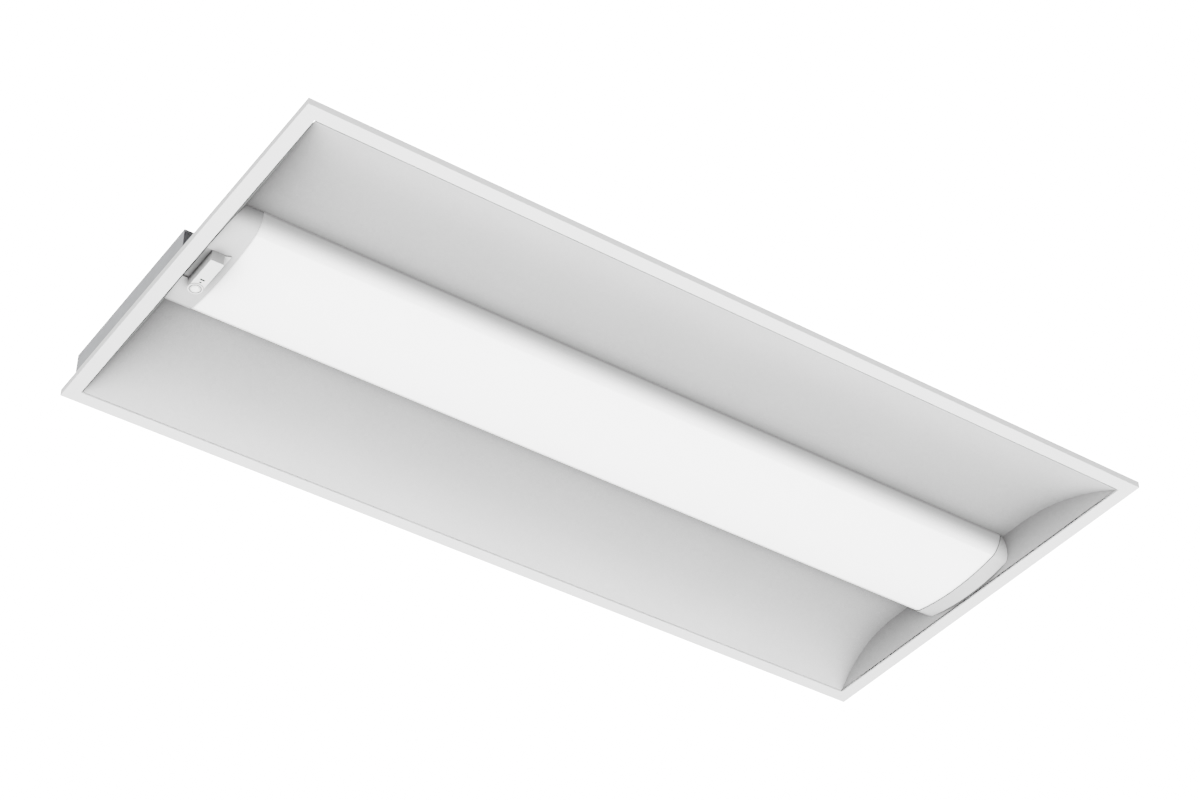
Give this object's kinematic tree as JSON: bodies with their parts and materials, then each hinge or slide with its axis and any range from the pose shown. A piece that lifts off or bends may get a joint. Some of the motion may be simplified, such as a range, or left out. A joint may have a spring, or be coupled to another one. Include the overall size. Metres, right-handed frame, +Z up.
{
  "type": "recessed troffer light",
  "caption": "Recessed ceiling troffer with curved side reflectors, a removable central D lens, a built-in sensor, LED boards, driver and wiring box.",
  "frame": {"origin": "middle of the trim frame's opening, on the face that rests on the ceiling grid", "axes": "+X along the light away from the sensor, +Y across it, +Z up into the ceiling"},
  "size_m": [1.2128, 0.6032, 0.0792],
  "materials": {
    "white_enamel": "satin white powder coat",
    "white_housing": "satin white powder coat",
    "white_reflector": "matt white high-reflectance coat",
    "galvanised_steel": "bare galvanised sheet",
    "zinc_screws": "zinc plated",
    "circuit_board": "white solder mask",
    "led_phosphor": "yellow phosphor in a white case",
    "white_connector": "moulded nylon",
    "white_insulation": "PVC insulation",
    "frosted_acrylic": "frosted acrylic",
    "cap_plastic": "moulded polycarbonate",
    "spring_steel": "spring steel",
    "sensor_plastic": "moulded, fine texture",
    "sensor_dome_plastic": "translucent polyethylene",
    "dark_window": "dark infrared-passing plastic",
    "black_insulation": "PVC insulation",
    "grey_insulation": "PVC sheath",
    "green_insulation": "PVC insulation",
    "driver_enamel": "white enamel"
  },
  "bodies": {
    "fixture": {"board_connectors": "white_connector", "board_jumpers": "white_insulation", "board_screws": "zinc_screws", "box_lid": "galvanised_steel", "box_screws": "zinc_screws", "cap_screws": "zinc_screws", "clip_bracket_far_left": "galvanised_steel", "clip_bracket_far_right": "galvanised_steel", "clip_bracket_near_left": "galvanised_steel", "clip_bracket_near_right": "galvanised_steel", "clip_rivet_far_left": "zinc_screws", "clip_rivet_far_right": "zinc_screws", "clip_rivet_near_left": "zinc_screws", "clip_rivet_near_right": "zinc_screws", "driver_screws": "zinc_screws", "driver_terminals": "white_connector", "end_cap": "cap_plastic", "end_plate_left": "white_housing", "end_plate_right": "white_housing", "end_reflector_left": "white_reflector", "end_reflector_right": "white_reflector", "ground_screw": "zinc_screws", "led_board_1": "circuit_board", "led_board_2": "circuit_board", "led_board_3": "circuit_board", "led_board_4": "circuit_board", "led_chips": "led_phosphor", "led_driver": "driver_enamel", "led_lead_far": "white_insulation", "led_lead_near": "white_insulation", "led_tray": "galvanised_steel", "lens_springs": "spring_steel", "lid_screws": "zinc_screws", "sensor_body": "sensor_plastic", "sensor_bracket": "galvanised_steel", "sensor_cable": "grey_insulation", "sensor_dome": "sensor_dome_plastic", "sensor_plate": "cap_plastic", "sensor_ring": "sensor_plastic", "sensor_screws": "zinc_screws", "sensor_windows": "dark_window", "side_rail_far": "white_housing", "side_rail_near": "white_housing", "side_reflector_far": "white_reflector", "side_reflector_near": "white_reflector", "supply_disconnect": "white_connector", "trim_frame": "white_enamel", "wire_bushing": "black_insulation", "wire_ground": "green_insulation", "wire_line": "black_insulation", "wire_neutral": "white_insulation", "wiring_box": "galvanised_steel"},
    "lens": {"lens": "frosted_acrylic"},
    "grid_clip_near_left": {"grid_clip_near_left": "galvanised_steel"},
    "grid_clip_near_right": {"grid_clip_near_right": "galvanised_steel"},
    "grid_clip_far_left": {"grid_clip_far_left": "galvanised_steel"},
    "grid_clip_far_right": {"grid_clip_far_right": "galvanised_steel"}
  },
  "joints": [
    {"name": "lens_drop", "type": "slide", "parent": "fixture", "child": "lens", "axis": [0, 0, -1], "range_m": [0, 0.06]},
    {"name": "clip_swing_near_left", "type": "hinge", "parent": "fixture", "child": "grid_clip_near_left", "pos_m": [-0.4, -0.26212, 0.0409], "axis": [0, 0, -1], "range_deg": [0, 90]},
    {"name": "clip_swing_near_right", "type": "hinge", "parent": "fixture", "child": "grid_clip_near_right", "pos_m": [0.4, -0.26212, 0.0409], "axis": [0, 0, 1], "range_deg": [0, 90]},
    {"name": "clip_swing_far_left", "type": "hinge", "parent": "fixture", "child": "grid_clip_far_left", "pos_m": [-0.4, 0.26212, 0.0409], "axis": [0, 0, 1], "range_deg": [0, 90]},
    {"name": "clip_swing_far_right", "type": "hinge", "parent": "fixture", "child": "grid_clip_far_right", "pos_m": [0.4, 0.26212, 0.0409], "axis": [0, 0, -1], "range_deg": [0, 90]}
  ]
}
